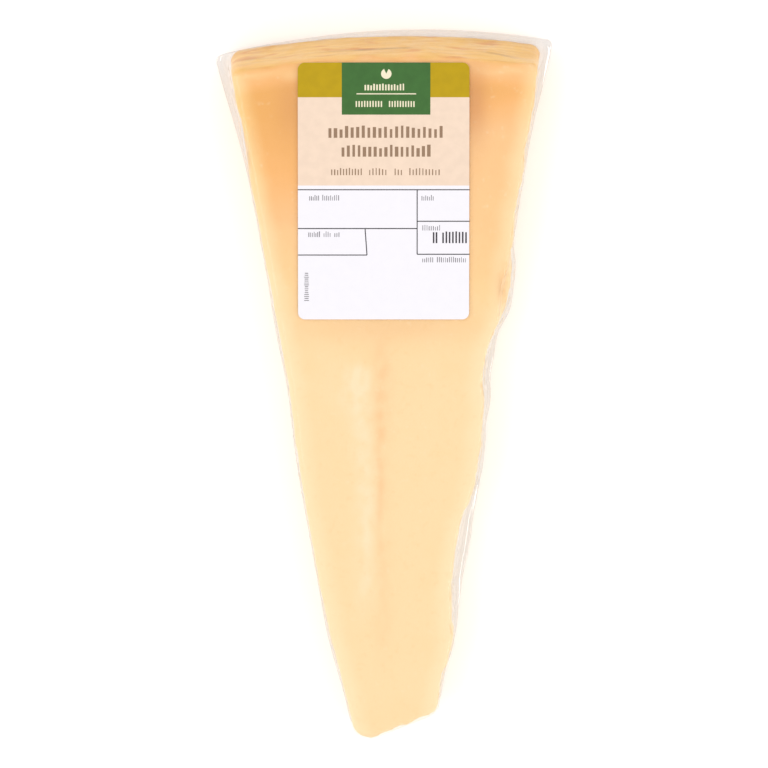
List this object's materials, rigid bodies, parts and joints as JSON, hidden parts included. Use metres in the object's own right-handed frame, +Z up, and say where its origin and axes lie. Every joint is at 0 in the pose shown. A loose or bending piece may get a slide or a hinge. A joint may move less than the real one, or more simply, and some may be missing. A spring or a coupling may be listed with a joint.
{
  "type": "cheese wedge pack",
  "caption": "Long narrow wedge of hard aged cheese, flat on its back, sealed in tight clear film with a paper label on its upper face.",
  "frame": {"origin": "middle of the pack's box, on the flat back it lies on", "axes": "+Y runs along the wedge from the cut-off tip to the rind, +Z up through the labelled face, +X to the right of the label as it is read"},
  "size_m": [0.0874, 0.1866, 0.0193],
  "materials": {
    "cheese_paste": "pale straw paste, waxy and softly matt, a deeper tan near the rind",
    "clear_film": "thin clear glossy film, drawn tight",
    "label_paper": "smooth coated paper with flat printed fields"
  },
  "bodies": {
    "root": {"sealed_pack": "cheese_paste", "label": "label_paper"}
  },
  "joints": []
}
